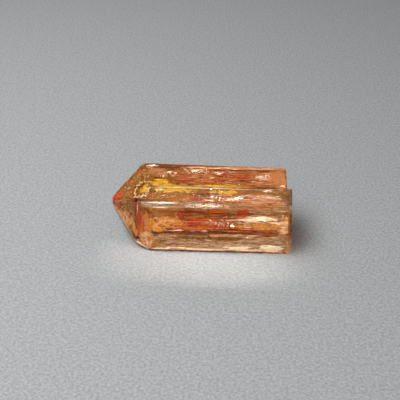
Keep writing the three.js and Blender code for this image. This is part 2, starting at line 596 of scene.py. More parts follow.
def needleTemplate():
    bm = bmesh.new()
    for side in (-1, 1):
        made = bmesh.ops.create_cone(
            bm, segments=needleForm["sides"], radius1=1.0, radius2=0.0, depth=1.0, cap_ends=False)
        turn = Matrix.Rotation(side * math.pi / 2, 3, "Y")
        bmesh.ops.translate(bm, vec=(0, 0, 0.5), verts=made["verts"])
        bmesh.ops.rotate(bm, cent=(0, 0, 0), matrix=turn, verts=made["verts"])
    bmesh.ops.remove_doubles(bm, verts=bm.verts[:], dist=1e-4)
    bmesh.ops.recalc_face_normals(bm, faces=bm.faces[:])
    return asMesh("needleTemplate", bm)


def addCopy(bm, template):
    start = len(bm.verts)
    bm.from_mesh(template)
    bm.verts.ensure_lookup_table()
    return bm.verts[start:]


def finishPiece(name, bm, material):
    print(name, len(bm.faces), "faces")
    mesh = asMesh(name, bm)
    mesh.materials.append(material)
    piece = addObject(name, mesh)
    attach(piece, "root")
    return piece


def around(angle, radius, seed):
    # a place on a circle, where noise closes on itself
    return Vector((math.cos(angle) * radius, math.sin(angle) * radius, seed))


def addVeil(bm, fade, template, stand, halfSize, seed):
    # a torn, gently waved film, thickest in its middle
    tearPace, tearSeed = veilForm["tearing"]
    alongPace, acrossPace, waveSeed = veilForm["waving"]
    copied = addCopy(bm, template)
    for v in copied:
        u, w, side = v.co
        reach = math.hypot(u, w)
        tear = noise.fractal(around(math.atan2(w, u), tearPace, seed * tearSeed), 1.0, 2.0, 3)
        rim = 1.0 + veilForm["torn"] * reach * tear
        flat = Vector((u * rim * halfSize[0], w * rim * halfSize[1], 0))
        waving = Vector((flat.x * alongPace, flat.y * acrossPace, seed * waveSeed))
        lift = veilForm["wave"] * noise.noise(waving)
        lift += side * veilForm["thick"] * (veilForm["middle"] - reach ** 2)
        v[fade] = 1.0 - reach
        v.co = stand @ (Vector((flat.x, flat.y, lift)) * mm)
    keepInside(copied, clearance["film"])


def buildVeils(name, rows, material, template):
    bm = bmesh.new()
    fade = bm.verts.layers.float.new("fade")
    for number, (face, place, depth, halfSize, *turns) in enumerate(rows):
        stand = turnedSpot(face, place, depth, *turns)
        seed = len(name) + number * veilForm["seedStep"]
        addVeil(bm, fade, template, stand, halfSize, seed)
    return finishPiece(name, bm, material)


# A shell-shaped crack that follows the skin where the pyramid meets the shoulder: its rim is broken
# into a zigzag and coloured pale cream, a painted glint along the crack's edge.
shellCrack = {
    "faces": ("pyramidTop", "shoulder"),
    "place": (-6.8, -1.0, 6.4),
    "above": 0.25,
    "halfSize": (1.08, 1.5),
    "segments": 78,
    "innerRim": 0.86,
    "zigzag": 0.26,
    "teeth": 13,
    "uneven": (0.8, 2, 3),            # how much the teeth vary, and how the noise is read
    "thick": 0.03,
    "fade": 0.45,
    "look": {
        "tint": (1.0, 0.95, 0.80), "deepTint": (1.0, 0.85, 0.55),
        "body": (1.0, 0.84, 0.50), "deepBody": (0.55, 0.28, 0.07),
        "Grain": 4200.0, "Stretch": 0.8, "Break": 1.6, "Cover": 0.3, "share": 0.85, "roughness": 0.3,
    },
}


def ringTemplate():
    bm = bmesh.new()
    bmesh.ops.create_circle(bm, segments=shellCrack["segments"], radius=1.0)
    widened = bmesh.ops.extrude_edge_only(bm, edges=bm.edges[:])["geom"]
    inner = [item for item in widened if isinstance(item, bmesh.types.BMVert)]
    narrower = shellCrack["innerRim"]
    bmesh.ops.scale(bm, vec=(narrower, narrower, 1.0), verts=inner)
    bmesh.ops.subdivide_edges(bm, edges=bm.edges[:], cuts=1, use_grid_fill=True)
    closeSheet(bm)
    return asMesh("ringTemplate", bm)


def buildShellCrack(name, material):
    bm = bmesh.new()
    fade = bm.verts.layers.float.new("fade")
    normal = sum((facetPlane(face)[1] for face in shellCrack["faces"]), Vector()).normalized()
    stand = standOn(Vector(shellCrack["place"]) * mm + normal * shellCrack["above"] * mm, normal)
    halfLong, halfWide = shellCrack["halfSize"]
    varies, pace, aside = shellCrack["uneven"]
    copied = addCopy(bm, ringTemplate())
    for v in copied:
        u, w, side = v.co
        angle = math.atan2(w, u)
        jag = abs((angle / math.tau * shellCrack["teeth"]) % 1.0 - 0.5) * 2
        jag += varies * noise.noise(around(angle, pace, aside))
        out = 1.0 + shellCrack["zigzag"] * (jag - 0.5)
        flat = Vector((u * out * halfLong, w * out * halfWide, side * shellCrack["thick"]))
        v.co = stand @ (flat * mm)
        v[fade] = shellCrack["fade"]
    keepInside(copied, clearance["film"])
    return finishPiece(name, bm, material)


def placeCopy(bm, template, stand, spot, turn, scale):
    copied = addCopy(bm, template)
    for v in copied:
        v.co = stand @ ((spot + turn @ (v.co * scale)) * mm)
    keepInside(copied, clearance["speck"])


def buildFlakes(name, rows, material, seed, template):
    # loose specks scattered through flat lens-shaped clouds
    bm = bmesh.new()
    draw = random.Random(seed)
    wobble = flakeForm["wobble"]
    for face, place, depth, halfSize, spread, count, size, tilt in rows:
        stand = spotInside(face, place, depth)
        for speck in range(count):
            angle, reach = draw.uniform(0, math.tau), draw.uniform(0, 1) ** flakeForm["crowding"]
            spot = Vector((
                math.cos(angle) * reach * halfSize[0], math.sin(angle) * reach * halfSize[1],
                draw.gauss(0, spread)))
            turn = turned(tilt, "X") @ Matrix.Rotation(draw.gauss(0, wobble), 3, "X")
            turn = turn @ Matrix.Rotation(draw.gauss(0, wobble), 3, "Y")
            turn = turn @ Matrix.Rotation(draw.uniform(*flakeForm["spin"]), 3, "Z")
            long = draw.uniform(*flakeForm["long"]) * size
            scale = Vector((
                long * draw.uniform(*flakeForm["stretch"]), long * draw.uniform(*flakeForm["broad"]),
                long * flakeForm["flat"]))
            placeCopy(bm, template, stand, spot, turn, scale)
    return finishPiece(name, bm, material)


def buildNeedles(name, rows, material, seed, template):
    # thin growth tubes and ruts that run with the growth axis, and a few pale lines that are painted
    # edge highlights
    bm = bmesh.new()
    draw = random.Random(seed)
    for face, place, depth, halfSize, spread, count, length, thick, lean in rows:
        stand = spotInside(face, place, depth)
        for needle in range(count):
            spot = Vector((
                draw.uniform(-1, 1) * halfSize[0], draw.uniform(-1, 1) * halfSize[1],
                draw.gauss(0, spread)))
            half = length * draw.uniform(*needleForm["long"])
            turn = turned(draw.gauss(0, lean), "Z")
            width = thick * draw.uniform(*needleForm["thick"])
            scale = Vector((half, width, width * needleForm["flat"]))
            placeCopy(bm, template, stand, spot, turn, scale)
    return finishPiece(name, bm, material)


def newMaterial(name):
    material = bpy.data.materials.new(name)
    material.use_nodes = True
    return material, material.node_tree, material.node_tree.nodes["Principled BSDF"]


def feed(tree, inputs, values):
    # each value is another node's output, or a fixed number or colour
    for name, value in values.items():
        if isinstance(value, bpy.types.NodeSocket):
            tree.links.new(value, inputs[name])
        else:
            inputs[name].default_value = value


def addNode(tree, kind, values=None):
    node = tree.nodes.new("ShaderNode" + kind)
    feed(tree, node.inputs, values or {})
    return node


def maths(tree, operation, first, second):
    node = addNode(tree, "Math", {0: first, 1: second})
    node.operation = operation
    return node.outputs[0]


def mapped(tree, value, ends):
    return addNode(tree, "MapRange", {"Value": value, **ends}).outputs["Result"]


def objectPlace(tree):
    return addNode(tree, "TexCoord").outputs["Object"]


def attributeValue(tree, name):
    node = addNode(tree, "Attribute")
    node.attribute_name = name
    return node.outputs["Fac"]


def mixColours(tree, factor, first, second):
    mix = addNode(tree, "Mix", {"Factor": factor})
    mix.data_type = "RGBA"
    pair = [(*value, 1) if isinstance(value, tuple) else value for value in (first, second)]
    feed(tree, mix.inputs, {6: pair[0], 7: pair[1]})
    return mix.outputs[2]


def mixShaders(tree, share, first, second):
    mix = addNode(tree, "MixShader", {0: share, 1: first, 2: second})
    feed(tree, tree.nodes["Material Output"].inputs, {"Surface": mix.outputs["Shader"]})


def newGroup(name, inputs, outputs):
    group = bpy.data.node_groups.new(name, "ShaderNodeTree")
    for socketName, value in inputs.items():
        socket = group.interface.new_socket(
            socketName, in_out="INPUT", socket_type="NodeSocketFloat")
        socket.default_value = value
    for socketName in outputs:
        group.interface.new_socket(socketName, in_out="OUTPUT", socket_type="NodeSocketFloat")
    given, made = group.nodes.new("NodeGroupInput"), group.nodes.new("NodeGroupOutput")
    return group, given.outputs, made.inputs


def placeGroup(tree, group, values):
    node = addNode(tree, "Group")
    node.node_tree = group
    feed(tree, node.inputs, values)
    return node.outputs


filmTexture = {
    "detail": {"Detail": 4.0, "Roughness": 0.6},
    "finer": 2.7,                     # the inner streaks against the torn cover
    "fadeGain": 2.0,
    "breakGain": 6.0,
    "streak": {"From Min": 0.42, "From Max": 0.58},
    "sheen": 0.1,
}


def filmPattern():
    # shared: torn cover and inner streaks for every film sealed in the crystal
    inputs = {"Fade": 1.0, "Grain": 2500.0, "Stretch": 0.3, "Break": 1.0, "Cover": 0.0}
    group, given, made = newGroup("filmPattern", inputs, ("Cover", "Streak"))
    stretch = addNode(group, "CombineXYZ", {"X": given["Stretch"], "Y": 1.0, "Z": 1.0})
    place = addNode(
        group, "Mapping", {"Vector": objectPlace(group), "Scale": stretch.outputs["Vector"]})
    finer = maths(group, "MULTIPLY", given["Grain"], filmTexture["finer"])
    coarse, fine = [
        addNode(group, "TexNoise", {
            "Vector": place.outputs["Vector"], "Scale": grain, **filmTexture["detail"]})
        for grain in (given["Grain"], finer)]
    centred = maths(group, "SUBTRACT", coarse.outputs["Fac"], 0.5)
    ragged = maths(group, "MULTIPLY", centred, given["Break"])
    torn = maths(group, "MULTIPLY", ragged, filmTexture["breakGain"])
    filled = maths(group, "MULTIPLY", given["Fade"], filmTexture["fadeGain"])
    cover = maths(group, "ADD", maths(group, "ADD", filled, torn), given["Cover"])
    clamp = addNode(group, "Clamp", {"Value": cover})
    streak = mapped(group, fine.outputs["Fac"], filmTexture["streak"])
    feed(group, made, {"Cover": clamp.outputs["Result"], "Streak": streak})
    return group


def grainPattern():
    # shared: soft grain that runs from 0 to 1
    inputs = {"Grain": 1800.0, "Detail": 3.0, "Low": 0.35, "High": 0.65}
    group, given, made = newGroup("grainPattern", inputs, ("Mask",))
    texture = addNode(group, "TexNoise", {
        "Vector": objectPlace(group), "Scale": given["Grain"], "Detail": given["Detail"]})
    ends = {"From Min": given["Low"], "From Max": given["High"]}
    spread = mapped(group, texture.outputs["Fac"], ends)
    feed(group, made, {"Mask": spread})
    return group


def filmMaterial(name, pattern, look):
    # tinted clear film with a share of scattering body in it
    material, tree, shader = newMaterial(name)
    values = {socket: look[socket] for socket in ("Grain", "Stretch", "Break", "Cover")}
    film = placeGroup(tree, pattern, {"Fade": attributeValue(tree, "fade"), **values})
    tint = mixColours(tree, film["Streak"], look["tint"], look["deepTint"])
    body = mixColours(tree, film["Streak"], look["body"], look["deepBody"])
    feed(tree, shader.inputs, {
        "Base Color": body, "Roughness": look["roughness"],
        "Specular IOR Level": filmTexture["sheen"]})
    stained = mixColours(tree, film["Cover"], (1.0, 1.0, 1.0), tint)
    clear = addNode(tree, "BsdfTransparent", {"Color": stained})
    share = maths(tree, "MULTIPLY", film["Cover"], look["share"])
    mixShaders(tree, share, clear.outputs["BSDF"], shader.outputs["BSDF"])
    return material


speckFinishes = {
    "creamSpeck": {
        "light": (1.0, 0.95, 0.85), "dark": (1.0, 0.75, 0.5), "roughness": 0.25, "metal": 0.0},
    "russetSpeck": {
        "light": (0.75, 0.24, 0.06), "dark": (0.42, 0.12, 0.03), "roughness": 0.35, "metal": 0.0},
    "cleavageGlint": {
        "light": (1.0, 0.94, 0.84), "dark": (1.0, 0.80, 0.58), "roughness": 0.22, "metal": 1.0},
}


def speckMaterial(name, pattern, finish):
    material, tree, shader = newMaterial(name)
    mask = placeGroup(tree, pattern, {})["Mask"]
    feed(tree, shader.inputs, {
        "Base Color": mixColours(tree, mask, finish["light"], finish["dark"]),
        "Roughness": finish["roughness"], "Metallic": finish["metal"]})
    return material


clearTopaz = {
    "ior": 1.62,
    "absorbed": (0.985, 0.66, 0.12, 1),
    "density": 250.0,
    "lines": {"Scale": 5200.0, "Detail": 3.0},
    "lineStretch": (0.05, 1.0, 1.0),
    "relief": {"Strength": 0.25, "Distance": 0.00002},
    "etching": {"Scale": 2600.0, "Detail": 4.0},
    "dulling": {"From Max": 0.6, "To Min": 0.0, "To Max": 0.55},
    "shadow": ((0.42, 0.42, 0.43), (1.0, 1.0, 1.0)),      # going in, coming out
}


def topazMaterial():
    material, tree, shader = newMaterial("clearTopaz")
    place = objectPlace(tree)
    drawn = addNode(tree, "Mapping", {"Vector": place, "Scale": clearTopaz["lineStretch"]})
    lines = addNode(
        tree, "TexNoise", {"Vector": drawn.outputs["Vector"], **clearTopaz["lines"]})
    relief = addNode(tree, "Bump", {"Height": lines.outputs["Fac"], **clearTopaz["relief"]})
    etched = addNode(tree, "TexNoise", {"Vector": place, **clearTopaz["etching"]})
    dull = maths(tree, "MULTIPLY", attributeValue(tree, "worn"), etched.outputs["Fac"])
    feed(tree, shader.inputs, {
        "Base Color": (1, 1, 1, 1), "Transmission Weight": 1.0, "IOR": clearTopaz["ior"],
        "Normal": relief.outputs["Normal"],
        "Roughness": mapped(tree, dull, clearTopaz["dulling"])})
    absorb = addNode(tree, "VolumeAbsorption", {
        "Color": clearTopaz["absorbed"], "Density": clearTopaz["density"]})
    feed(tree, tree.nodes["Material Output"].inputs, {"Volume": absorb.outputs["Volume"]})
    # light that only casts shadows goes straight through, so that what is sealed inside is lit
    leaving = addNode(tree, "NewGeometry").outputs["Backfacing"]
    passing = mixColours(tree, leaving, *clearTopaz["shadow"])
    clear = addNode(tree, "BsdfTransparent", {"Color": passing})
    casting = addNode(tree, "LightPath").outputs["Is Shadow Ray"]
    mixShaders(tree, casting, shader.outputs["BSDF"], clear.outputs["BSDF"])
    return material


# Each row: face, (mm along, share across) or a point by a pyramid facet, depth,
# (half length, half width), and if it is turned, spin on the face and tilt out of it.
stains = {
    "honey_haze": {
        "tint": (1.0, 0.82, 0.44), "deepTint": (0.96, 0.74, 0.34),
        "body": (0.31, 0.17, 0.042), "deepBody": (0.24, 0.12, 0.028),
        "Grain": 1500.0, "Stretch": 0.6, "Break": 0.5, "Cover": 0.5, "share": 0.34, "roughness": 0.5,
        "rows": [
            ("pyramidTop", (-8.1, 0.4, 5.3), 0.7, (1.9, 3.2)),
            ("pyramidFront", (-8.4, -2.0, 3.6), 0.7, (1.7, 2.2)),
            ("collar", (-6.5, -3.5, 3.2), 0.5, (1.0, 2.6)),
            ("top", (-5.0, 0.45), 0.9, (2.6, 2.2)),
            ("shoulder", (-5.2, 0.5), 0.7, (1.8, 0.9)),
            ("pyramidBack", (-8.4, 2.0, 4.0), 0.5, (1.9, 2.6)),
            ("pyramidKeel", (-8.2, -0.5, 1.4), 0.5, (1.6, 2.4)),
            ("shoulder", (-3.2, 0.55), 0.5, (3.4, 1.0)),
            ("shoulder", (-2.0, 0.10), 0.5, (5.0, 0.36)),
            ("shoulder", (6.6, 0.10), 0.5, (3.4, 0.36)),
            ("crest", (-4.0, 0.45), 0.3, (3.2, 0.55)),
            ("crest", (4.0, 0.45), 0.3, (6.0, 0.55)),
            ("under", (2.4, 0.28), 0.11, (5.0, 0.30)),
        ],
    },
    "tan_haze": {
        "tint": (1.0, 0.90, 0.72), "deepTint": (0.98, 0.82, 0.60),
        "body": (0.56, 0.285, 0.13), "deepBody": (0.32, 0.13, 0.046),
        "Grain": 3600.0, "Stretch": 0.28, "Break": 1.2, "Cover": 0.4, "share": 0.46, "roughness": 0.5,
        "rows": [
            ("top", (3.2, 0.42), 0.9, (7.2, 2.6)),
            ("shoulder", (6.2, 0.55), 0.6, (4.2, 0.9)),
            ("crest", (6.5, 0.5), 0.5, (4.0, 0.4), 0, 15),
            ("front", (-4.0, 0.22), 0.5, (2.2, 0.6)),
            ("front", (6.6, 0.5), 0.9, (3.6, 1.5), 0, 4),
            ("front", (7.0, 0.68), 0.3, (2.6, 0.5)),
            ("top", (8.7, 0.4), 0.5, (1.5, 1.8)),
            ("top", (9.2, 0.5), 0.25, (0.9, 2.2)),
            ("back", (0.5, 0.5), 0.3, (9.0, 1.9)),
            ("rear", (0.5, 0.5), 0.3, (9.0, 1.9)),
            ("brokenEnd", (10.4, -0.5, 3.6), 0.5, (3.0, 2.4)),
            ("top", (-5.6, 0.36), 0.25, (1.5, 1.1)),
        ],
    },
    "golden_stain": {
        "tint": (0.98, 0.84, 0.32), "deepTint": (0.94, 0.74, 0.22),
        "body": (0.68, 0.46, 0.06), "deepBody": (0.48, 0.28, 0.03),
        "Grain": 2800.0, "Stretch": 0.5, "Break": 1.1, "Cover": 0.1, "share": 0.56, "roughness": 0.4,
        "rows": [
            ("top", (-4.8, 0.76), 0.45, (1.6, 0.90), -8, 4),
            ("top", (-3.0, 0.92), 0.35, (3.0, 0.34)),
            ("shoulder", (-3.2, 0.12), 0.35, (2.6, 0.34)),
            ("top", (2.4, 0.88), 0.4, (3.6, 0.32)),
            ("shoulder", (2.7, 0.18), 0.4, (1.8, 0.46)),
            ("pyramidTop", (-6.5, -1.1, 6.2), 0.3, (0.6, 0.7)),
            ("collar", (-6.0, -3.8, 2.4), 0.3, (0.7, 1.3)),
        ],
    },
    "orange_stain": {
        "tint": (0.98, 0.72, 0.42), "deepTint": (0.90, 0.54, 0.26),
        "body": (0.63, 0.185, 0.034), "deepBody": (0.38, 0.09, 0.016),
        "Grain": 3400.0, "Stretch": 0.4, "Break": 1.3, "Cover": 0.0, "share": 0.6, "roughness": 0.45,
        "rows": [
            ("front", (0.2, 0.62), 0.5, (3.9, 0.80), 2, 6),
            ("front", (-0.4, 0.50), 0.5, (2.4, 0.36), -6, -8),
            ("front", (-2.8, 0.66), 0.4, (1.6, 0.42), -6),
            ("front", (-0.6, 0.78), 0.25, (3.6, 0.34)),
            ("front", (7.2, 0.80), 0.5, (2.6, 0.26), 0, 5),
            ("front", (9.6, 0.34), 0.25, (0.42, 0.26)),
            ("top", (0.6, 0.66), 0.7, (1.2, 0.3)),
            ("top", (1.5, 0.10), 0.5, (4.4, 0.30)),
            ("pyramidTop", (-7.5, 2.3, 6.3), 0.14, (0.55, 0.8)),
            ("pyramidTop", (-8.2, 1.2, 5.8), 0.14, (0.35, 0.5)),
            ("collar", (-6.85, -3.3, 3.2), 0.12, (0.42, 2.3)),
            ("collar", (-6.6, -3.4, 2.6), 0.13, (0.5, 1.4)),
            ("back", (2.0, 0.45), 0.25, (4.4, 0.8), 3),
            ("back", (-4.0, 0.6), 0.25, (2.4, 0.6), -4),
            ("rear", (-2.0, 0.5), 0.25, (4.2, 0.8), -3),
            ("rear", (5.5, 0.4), 0.25, (3.2, 0.7), 4),
            ("pyramidBack", (-8.8, 1.2, 4.2), 0.2, (0.9, 1.4)),
            ("pyramidKeel", (-8.8, -0.4, 2.2), 0.2, (0.9, 1.2)),
            ("brokenEnd", (10.4, -2.0, 3.0), 0.35, (1.4, 0.9), 20),
        ],
    },
    "crimson_stain": {
        "tint": (0.92, 0.30, 0.14), "deepTint": (0.80, 0.16, 0.07),
        "body": (0.43, 0.055, 0.014), "deepBody": (0.27, 0.03, 0.010),
        "Grain": 3400.0, "Stretch": 0.4, "Break": 1.1, "Cover": 0.5, "share": 0.82, "roughness": 0.4,
        "rows": [
            ("front", (4.9, 0.12), 0.12, (0.66, 0.50), -20),
            ("front", (2.2, 0.12), 0.2, (1.15, 0.20)),
            ("top", (4.5, 0.47), 0.2, (0.9, 0.26)),
            ("front", (-2.2, 0.29), 0.25, (0.46, 0.28), 12),
            ("front", (-1.0, 0.60), 0.4, (1.0, 0.34), 3, 4),
            ("front", (2.2, 0.74), 0.35, (1.6, 0.14)),
            ("front", (6.4, 0.84), 0.25, (1.8, 0.08)),
            ("shoulder", (-0.5, 0.72), 0.14, (0.9, 0.14)),
            ("collar", (-6.95, -3.25, 4.1), 0.11, (0.26, 1.5)),
            ("pyramidFront", (-9.75, -0.9, 4.5), 0.2, (0.42, 0.42)),
            ("pyramidTop", (-9.9, -0.4, 4.6), 0.12, (0.6, 0.8)),
        ],
    },
    "rust_stain": {
        "tint": (0.94, 0.50, 0.26), "deepTint": (0.86, 0.34, 0.15),
        "body": (0.44, 0.12, 0.032), "deepBody": (0.23, 0.048, 0.014),
        "Grain": 3400.0, "Stretch": 0.35, "Break": 1.5, "Cover": 0.2, "share": 0.80, "roughness": 0.4,
        "rows": [
            ("top", (-1.9, 0.58), 0.25, (0.95, 0.80), -10, 5),
            ("top", (3.7, 0.56), 0.22, (2.3, 0.46)),
            ("top", (2.2, 0.36), 0.3, (1.0, 0.30), 3),
            ("top", (4.2, 0.32), 0.3, (1.8, 0.30), -2),
            ("top", (4.6, 0.46), 0.2, (1.0, 0.40)),
            ("rear", (1.5, 0.55), 0.22, (2.2, 0.5), 3),
            ("back", (-1.5, 0.4), 0.22, (2.0, 0.4)),
            ("brokenEnd", (10.4, 0.8, 4.6), 0.3, (1.5, 0.5), -10),
            ("pyramidTop", (-9.6, -0.3, 4.7), 0.15, (0.9, 1.3)),
            ("pyramidFront", (-9.6, -1.0, 4.1), 0.15, (0.9, 1.4)),
        ],
    },
    "umber_stain": {
        "tint": (0.84, 0.62, 0.42), "deepTint": (0.62, 0.38, 0.22),
        "body": (0.38, 0.16, 0.055), "deepBody": (0.24, 0.085, 0.03),
        "Grain": 3400.0, "Stretch": 0.25, "Break": 1.1, "Cover": 0.1, "share": 0.6, "roughness": 0.5,
        "rows": [
            ("pyramidTop", (-7.9, 2.6, 5.9), 0.2, (0.4, 1.0)),
            ("pyramidFront", (-7.7, -2.5, 5.2), 0.2, (0.60, 0.55)),
            ("front", (8.8, 0.86), 0.15, (1.0, 0.10)),
            ("shoulder", (5.8, 0.36), 0.4, (1.5, 0.34)),
            ("under", (2.0, 0.30), 0.4, (4.6, 0.34)),
            ("under", (7.0, 0.34), 0.4, (2.6, 0.18)),
            # a dark line along the bottom edge: painted contact shade where the crystal meets the
            # floor
            ("under", (1.8, 0.96), 0.12, (8.8, 0.12)),
            ("top", (2.2, 0.36), 0.9, (5.5, 0.9)),
            ("rear", (-4.5, 0.4), 0.25, (2.4, 0.6)),
            ("brokenEnd", (10.4, 2.2, 1.8), 0.3, (1.2, 0.8)),
        ],
    },
    "beige_haze": {
        "tint": (1.0, 0.93, 0.82), "deepTint": (0.98, 0.86, 0.70),
        "body": (0.84, 0.56, 0.32), "deepBody": (0.36, 0.165, 0.062),
        "Grain": 3200.0, "Stretch": 0.16, "Break": 1.3, "Cover": 0.8, "share": 0.68, "roughness": 0.5,
        "rows": [
            ("under", (1.8, 0.50), 0.15, (9.4, 1.25)),
            ("under", (-3.4, 0.45), 0.25, (3.4, 1.1)),
            ("under", (7.8, 0.36), 0.12, (2.8, 0.7)),
            ("under", (9.4, 0.5), 0.12, (1.0, 1.4)),
            ("front", (9.6, 0.62), 0.12, (0.6, 1.3)),
            ("back", (5.0, 0.7), 0.2, (4.4, 0.7)),
            ("keel", (0.5, 0.5), 0.2, (8.5, 0.7)),
            ("brokenEnd", (10.4, 0.5, 1.2), 0.3, (2.6, 0.8)),
            # a pale rim along the lower outline of the pyramid: painted rim highlight
            ("lowerRim", (-8.9, -2.0, 2.4), 0.10, (2.6, 0.65), -22),
            ("top", (4.0, 0.06), 0.16, (6.0, 0.28)),
            ("collar", (-5.8, -3.95, 1.6), 0.12, (0.55, 1.4), 90),
        ],
    },
    "olive_mottle": {
        "tint": (1.0, 0.88, 0.60), "deepTint": (0.96, 0.76, 0.46),
        "body": (0.30, 0.15, 0.034), "deepBody": (0.16, 0.065, 0.014),
        "Grain": 1500.0, "Stretch": 0.8, "Break": 1.2, "Cover": 0.0, "share": 0.56, "roughness": 0.5,
        "rows": [
            ("pyramidTop", (-8.3, 0.2, 5.2), 0.2, (1.8, 3.0)),
            ("pyramidTop", (-7.3, 1.6, 6.0), 0.15, (0.8, 1.8)),
            ("pyramidFront", (-8.5, -2.0, 3.6), 0.2, (1.6, 2.2)),
            ("pyramidFront", (-8.2, -2.7, 2.4), 0.15, (1.2, 1.4)),
            ("top", (-6.2, 0.45), 0.2, (1.0, 1.6)),
            ("pyramidBack", (-8.3, 2.2, 3.6), 0.2, (1.8, 2.2)),
            ("pyramidKeel", (-8.4, -0.6, 1.6), 0.2, (1.6, 2.0)),
            ("backCap", (-7.2, 4.0, 6.2), 0.15, (0.6, 1.0)),
        ],
    },
    "honey_mottle": {
        "tint": (1.0, 0.88, 0.58), "deepTint": (0.96, 0.72, 0.40),
        "body": (0.72, 0.36, 0.095), "deepBody": (0.42, 0.16, 0.032),
        "Grain": 2300.0, "Stretch": 0.55, "Break": 1.2, "Cover": 0.3, "share": 0.62, "roughness": 0.4,
        "rows": [
            ("collar", (-5.9, -3.8, 2.4), 0.16, (0.55, 1.9)),
            ("front", (-5.4, 0.62), 0.14, (0.9, 0.8)),
            ("under", (-5.2, 0.5), 0.14, (1.0, 0.9)),
            ("pyramidFront", (-8.5, -2.4, 2.5), 0.14, (1.2, 1.6)),
            ("front", (-3.4, 0.62), 0.3, (1.9, 0.80)),
            ("front", (6.8, 0.70), 0.25, (2.8, 0.42)),
            ("front", (-4.9, 0.84), 0.13, (1.3, 0.40)),
            ("pyramidFront", (-7.9, -2.9, 2.4), 0.12, (1.0, 1.3)),
            ("collar", (-6.1, -3.7, 3.6), 0.13, (0.45, 1.1)),
        ],
    },
    # pale films: some are milky healed cracks, and most sit where light glints off cracks and faces,
    # as painted glints
    "cream_film": {
        "tint": (1.0, 0.97, 0.92), "deepTint": (0.97, 0.85, 0.72),
        "body": (1.0, 0.92, 0.78), "deepBody": (0.86, 0.62, 0.38),
        "Grain": 6500.0, "Stretch": 0.45, "Break": 2.0, "Cover": -0.6, "share": 0.92, "roughness": 0.3,
        "rows": [
            ("top", (-6.0, 0.08), 0.14, (0.70, 0.26)),
            ("top", (-5.9, 0.42), 0.25, (0.22, 0.45)),
            ("top", (-4.4, 0.50), 0.3, (0.40, 0.20), 24),
            ("top", (-3.9, 0.34), 0.3, (0.45, 0.20), 20),
            ("top", (-0.8, 0.22), 0.3, (0.7, 0.28), 12),
            ("top", (2.0, 0.34), 0.2, (0.42, 0.24)),
            ("top", (7.0, 0.42), 0.3, (0.50, 0.30), 12),
            ("shoulder", (7.7, 0.06), 0.2, (0.75, 0.20), 8),
            ("top", (9.5, 0.84), 0.2, (0.45, 0.22)),
            ("shoulder", (-4.6, 0.14), 0.2, (0.55, 0.18), 8),
            ("shoulder", (3.4, 0.66), 0.16, (1.0, 0.22)),
            ("shoulder", (1.4, 0.76), 0.2, (0.8, 0.12)),
            ("crest", (1.0, 0.40), 0.16, (2.2, 0.14), 0, 10),
            ("front", (6.9, 0.38), 0.16, (1.7, 0.26)),
            ("front", (-5.2, 0.45), 0.25, (0.4, 0.14)),
            ("collar", (-5.9, -4.0, 0.9), 0.14, (0.45, 0.45)),
            ("collar", (-7.02, -3.1, 5.2), 0.12, (0.07, 0.75)),
            ("under", (-0.5, 0.40), 0.11, (0.70, 0.05), 88),
            ("rear", (3.8, 0.4), 0.18, (1.2, 0.3), 4),
            ("rear", (-3.6, 0.6), 0.18, (1.0, 0.25)),
            ("back", (0.8, 0.5), 0.18, (1.6, 0.25), -3),
            ("back", (6.8, 0.6), 0.18, (1.2, 0.3)),
            ("pyramidBack", (-7.4, 3.0, 4.0), 0.15, (0.25, 0.5), 20),
            ("brokenEnd", (10.4, 1.4, 2.6), 0.28, (0.9, 0.35), 30),
            ("brokenEnd", (10.4, -2.4, 1.6), 0.28, (0.7, 0.3), -20),
        ],
    },
    # painted highlights: pale bands on the front and along the lower edge of the under face, where
    # reflected light shows
    "cream_band": {
        "tint": (1.0, 0.93, 0.80), "deepTint": (0.98, 0.84, 0.60),
        "body": (1.0, 0.88, 0.68), "deepBody": (0.95, 0.70, 0.44),
        "Grain": 4200.0, "Stretch": 0.22, "Break": 1.3, "Cover": 0.5, "share": 1.0, "roughness": 0.3,
        "rows": [
            ("front", (6.6, 0.38), 0.25, (2.1, 0.32)),
            ("front", (7.4, 0.56), 0.4, (2.2, 0.26)),
            ("under", (4.4, 0.77), 0.12, (1.9, 0.40)),
            ("under", (8.4, 0.76), 0.12, (2.2, 0.58)),
            ("under", (2.0, 0.86), 0.12, (8.8, 0.20)),
            ("heel", (-6.8, -4.0, 0.3), 0.12, (1.0, 0.4)),
        ],
    },
    "russet_wisp": {
        "tint": (0.98, 0.70, 0.42), "deepTint": (0.88, 0.42, 0.20),
        "body": (0.42, 0.16, 0.045), "deepBody": (0.26, 0.07, 0.016),
        "Grain": 5500.0, "Stretch": 0.25, "Break": 2.4, "Cover": -2.4, "share": 0.55, "roughness": 0.4,
        "rows": [
            ("top", (2.5, 0.45), 0.5, (7.4, 2.4)),
            ("shoulder", (3.5, 0.55), 0.35, (6.6, 1.0)),
            ("front", (3.5, 0.5), 0.4, (7.0, 1.6)),
            ("under", (2.5, 0.4), 0.3, (8.0, 1.0)),
            ("back", (0.5, 0.5), 0.2, (8.8, 1.9)),
            ("rear", (0.5, 0.5), 0.2, (8.8, 1.9)),
            ("crest", (4.5, 0.5), 0.3, (5.6, 0.5)),
            ("under", (1.2, 0.38), 0.12, (4.2, 0.5)),
        ],
    },
    "cream_wisp": {
        "tint": (1.0, 0.95, 0.86), "deepTint": (0.98, 0.85, 0.66),
        "body": (0.92, 0.70, 0.46), "deepBody": (0.70, 0.40, 0.18),
        "Grain": 6500.0, "Stretch": 0.28, "Break": 2.6, "Cover": -3.1, "share": 0.6, "roughness": 0.3,
        "rows": [
            ("top", (3.0, 0.4), 0.3, (7.0, 2.5)),
            ("shoulder", (4.5, 0.6), 0.25, (5.6, 1.0)),
            ("front", (4.0, 0.45), 0.25, (6.4, 1.5)),
            ("under", (2.5, 0.6), 0.25, (8.0, 1.1)),
            ("collar", (-6.8, -3.1, 3.4), 0.25, (0.8, 2.4)),
